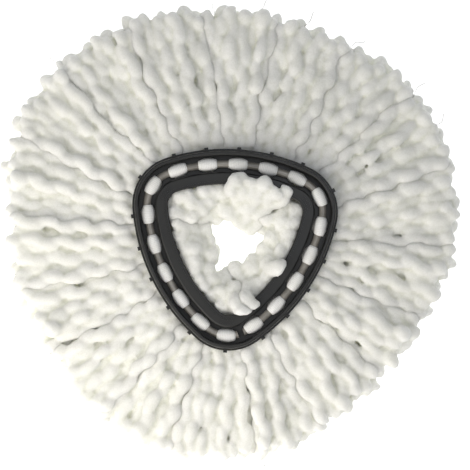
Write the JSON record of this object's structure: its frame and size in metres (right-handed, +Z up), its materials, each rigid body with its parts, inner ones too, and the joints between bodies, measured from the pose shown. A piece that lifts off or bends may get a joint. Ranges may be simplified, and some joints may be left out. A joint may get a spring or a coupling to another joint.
{
  "type": "spin mop head refill",
  "caption": "Round plush-yarn refill head for a spin mop, with bundles of microfibre yarn looped through a triangular carrier ring.",
  "frame": {"origin": "on the floor below the centre of the carrier ring, with the yarn spread flat", "axes": "+Z up, out of the side that the mop's base plate snaps into; one corner of the triangle towards -Y"},
  "size_m": [0.3084, 0.312, 0.034],
  "materials": {
    "carrier_plastic": "satin moulded polypropylene",
    "hoop_plastic": "smooth extruded rod",
    "yarn": "plush chenille microfibre yarn"
  },
  "bodies": {
    "carrier": {"carrier_ring": "carrier_plastic", "retaining_hoop": "hoop_plastic", "yarn_loop_01": "yarn", "inner_tuft_01": "yarn", "yarn_loop_02": "yarn", "inner_tuft_02": "yarn", "yarn_loop_03": "yarn", "inner_tuft_03": "yarn", "yarn_loop_04": "yarn", "inner_tuft_04": "yarn", "yarn_loop_05": "yarn", "inner_tuft_05": "yarn", "yarn_loop_06": "yarn", "inner_tuft_06": "yarn", "yarn_loop_07": "yarn", "inner_tuft_07": "yarn", "yarn_loop_08": "yarn", "inner_tuft_08": "yarn", "yarn_loop_09": "yarn", "inner_tuft_09": "yarn", "yarn_loop_10": "yarn", "inner_tuft_10": "yarn", "yarn_loop_11": "yarn", "inner_tuft_11": "yarn", "yarn_loop_12": "yarn", "inner_tuft_12": "yarn", "yarn_loop_13": "yarn", "inner_tuft_13": "yarn", "yarn_loop_14": "yarn", "inner_tuft_14": "yarn", "yarn_loop_15": "yarn", "inner_tuft_15": "yarn", "yarn_loop_16": "yarn", "inner_tuft_16": "yarn", "yarn_loop_17": "yarn", "inner_tuft_17": "yarn", "yarn_loop_18": "yarn", "inner_tuft_18": "yarn"},
    "tuft_01": {"outer_tuft_01": "yarn"},
    "tuft_02": {"outer_tuft_02": "yarn"},
    "tuft_03": {"outer_tuft_03": "yarn"},
    "tuft_04": {"outer_tuft_04": "yarn"},
    "tuft_05": {"outer_tuft_05": "yarn"},
    "tuft_06": {"outer_tuft_06": "yarn"},
    "tuft_07": {"outer_tuft_07": "yarn"},
    "tuft_08": {"outer_tuft_08": "yarn"},
    "tuft_09": {"outer_tuft_09": "yarn"},
    "tuft_10": {"outer_tuft_10": "yarn"},
    "tuft_11": {"outer_tuft_11": "yarn"},
    "tuft_12": {"outer_tuft_12": "yarn"},
    "tuft_13": {"outer_tuft_13": "yarn"},
    "tuft_14": {"outer_tuft_14": "yarn"},
    "tuft_15": {"outer_tuft_15": "yarn"},
    "tuft_16": {"outer_tuft_16": "yarn"},
    "tuft_17": {"outer_tuft_17": "yarn"},
    "tuft_18": {"outer_tuft_18": "yarn"}
  },
  "joints": [
    {"name": "tuft_01_swing", "type": "hinge", "parent": "carrier", "child": "tuft_01", "pos_m": [0, 0.064, 0.01], "axis": [1, 0, 0], "range_deg": [-70, 25]},
    {"name": "tuft_02_swing", "type": "hinge", "parent": "carrier", "child": "tuft_02", "pos_m": [0.02455, 0.0616, 0.01], "axis": [0.9471, -0.321, 0], "range_deg": [-70, 25]},
    {"name": "tuft_03_swing", "type": "hinge", "parent": "carrier", "child": "tuft_03", "pos_m": [0.04829, 0.05436, 0.01], "axis": [0.7816, -0.6237, 0], "range_deg": [-70, 25]},
    {"name": "tuft_04_swing", "type": "hinge", "parent": "carrier", "child": "tuft_04", "pos_m": [0.06763, 0.03905, 0.01], "axis": [0.5, -0.866, 0], "range_deg": [-70, 25]},
    {"name": "tuft_05_swing", "type": "hinge", "parent": "carrier", "child": "tuft_05", "pos_m": [0.07122, 0.01464, 0.01], "axis": [0.1494, -0.9888, 0], "range_deg": [-70, 25]},
    {"name": "tuft_06_swing", "type": "hinge", "parent": "carrier", "child": "tuft_06", "pos_m": [0.06562, -0.00954, 0.01], "axis": [-0.1956, -0.9807, 0], "range_deg": [-70, 25]},
    {"name": "tuft_07_swing", "type": "hinge", "parent": "carrier", "child": "tuft_07", "pos_m": [0.05543, -0.032, 0.01], "axis": [-0.5, -0.866, 0], "range_deg": [-70, 25]},
    {"name": "tuft_08_swing", "type": "hinge", "parent": "carrier", "child": "tuft_08", "pos_m": [0.04107, -0.05206, 0.01], "axis": [-0.7515, -0.6597, 0], "range_deg": [-70, 25]},
    {"name": "tuft_09_swing", "type": "hinge", "parent": "carrier", "child": "tuft_09", "pos_m": [0.02293, -0.069, 0.01], "axis": [-0.931, -0.365, 0], "range_deg": [-70, 25]},
    {"name": "tuft_10_swing", "type": "hinge", "parent": "carrier", "child": "tuft_10", "pos_m": [0, -0.07809, 0.01], "axis": [-1, 0, 0], "range_deg": [-70, 25]},
    {"name": "tuft_11_swing", "type": "hinge", "parent": "carrier", "child": "tuft_11", "pos_m": [-0.02293, -0.069, 0.01], "axis": [-0.931, 0.365, 0], "range_deg": [-70, 25]},
    {"name": "tuft_12_swing", "type": "hinge", "parent": "carrier", "child": "tuft_12", "pos_m": [-0.04107, -0.05206, 0.01], "axis": [-0.7515, 0.6597, 0], "range_deg": [-70, 25]},
    {"name": "tuft_13_swing", "type": "hinge", "parent": "carrier", "child": "tuft_13", "pos_m": [-0.05543, -0.032, 0.01], "axis": [-0.5, 0.866, 0], "range_deg": [-70, 25]},
    {"name": "tuft_14_swing", "type": "hinge", "parent": "carrier", "child": "tuft_14", "pos_m": [-0.06562, -0.00954, 0.01], "axis": [-0.1956, 0.9807, 0], "range_deg": [-70, 25]},
    {"name": "tuft_15_swing", "type": "hinge", "parent": "carrier", "child": "tuft_15", "pos_m": [-0.07122, 0.01464, 0.01], "axis": [0.1494, 0.9888, 0], "range_deg": [-70, 25]},
    {"name": "tuft_16_swing", "type": "hinge", "parent": "carrier", "child": "tuft_16", "pos_m": [-0.06763, 0.03905, 0.01], "axis": [0.5, 0.866, 0], "range_deg": [-70, 25]},
    {"name": "tuft_17_swing", "type": "hinge", "parent": "carrier", "child": "tuft_17", "pos_m": [-0.04829, 0.05436, 0.01], "axis": [0.7816, 0.6237, 0], "range_deg": [-70, 25]},
    {"name": "tuft_18_swing", "type": "hinge", "parent": "carrier", "child": "tuft_18", "pos_m": [-0.02455, 0.0616, 0.01], "axis": [0.9471, 0.321, 0], "range_deg": [-70, 25]}
  ]
}
